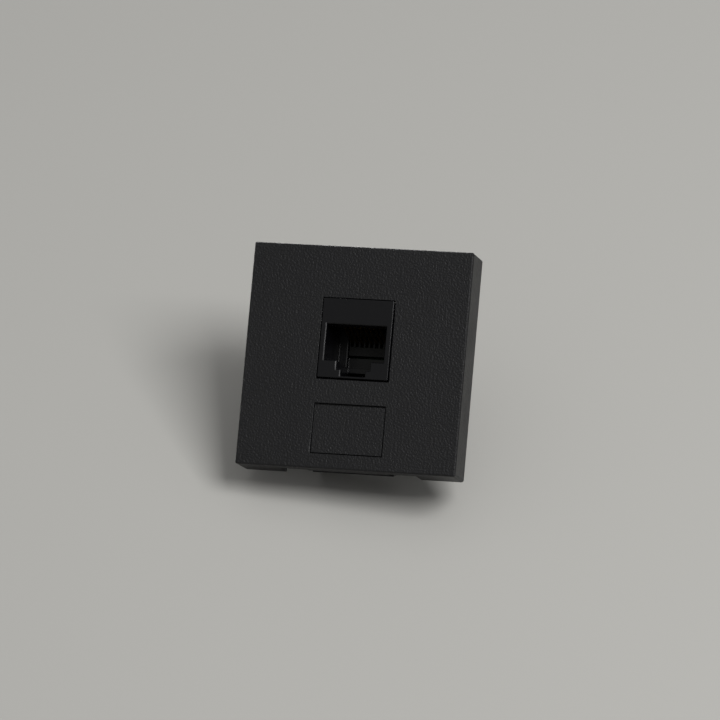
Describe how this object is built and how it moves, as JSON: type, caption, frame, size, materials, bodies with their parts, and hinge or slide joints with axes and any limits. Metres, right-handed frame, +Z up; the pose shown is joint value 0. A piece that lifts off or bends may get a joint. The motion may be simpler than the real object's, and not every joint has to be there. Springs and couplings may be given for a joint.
{
  "type": "ethernet socket module",
  "caption": "Square snap-in wall module with a keystone ethernet jack, a recessed label field, snap tabs at top and bottom, and a capped wire termination block behind.",
  "frame": {"origin": "centre of the square front face, where the module's opening is centred", "axes": "+X to the right and +Z up as seen from the front, +Y into the wall"},
  "size_m": [0.045, 0.0285, 0.045],
  "materials": {
    "plate_black": "fine spark-eroded texture",
    "jack_black": "satin",
    "carrier_black": "satin",
    "block_black": "satin",
    "cap_black": "satin",
    "board_green": "solder mask",
    "contact_gold": "gold-plated bronze",
    "terminal_tin": "tin-plated bronze"
  },
  "bodies": {
    "module": {"faceplate": "plate_black", "jack_housing": "jack_black", "contact_carrier": "carrier_black", "circuit_board": "board_green", "idc_block": "block_black", "contact_1": "contact_gold", "contact_2": "contact_gold", "contact_3": "contact_gold", "contact_4": "contact_gold", "contact_5": "contact_gold", "contact_6": "contact_gold", "contact_7": "contact_gold", "contact_8": "contact_gold", "idc_terminal_1": "terminal_tin", "idc_terminal_2": "terminal_tin", "idc_terminal_3": "terminal_tin", "idc_terminal_4": "terminal_tin", "idc_terminal_5": "terminal_tin", "idc_terminal_6": "terminal_tin", "idc_terminal_7": "terminal_tin", "idc_terminal_8": "terminal_tin"},
    "cap": {"wire_cap": "cap_black"}
  },
  "joints": [
    {"name": "cap_pull", "type": "slide", "parent": "module", "child": "cap", "axis": [0, 1, 0], "range_m": [0, 0.01]}
  ]
}
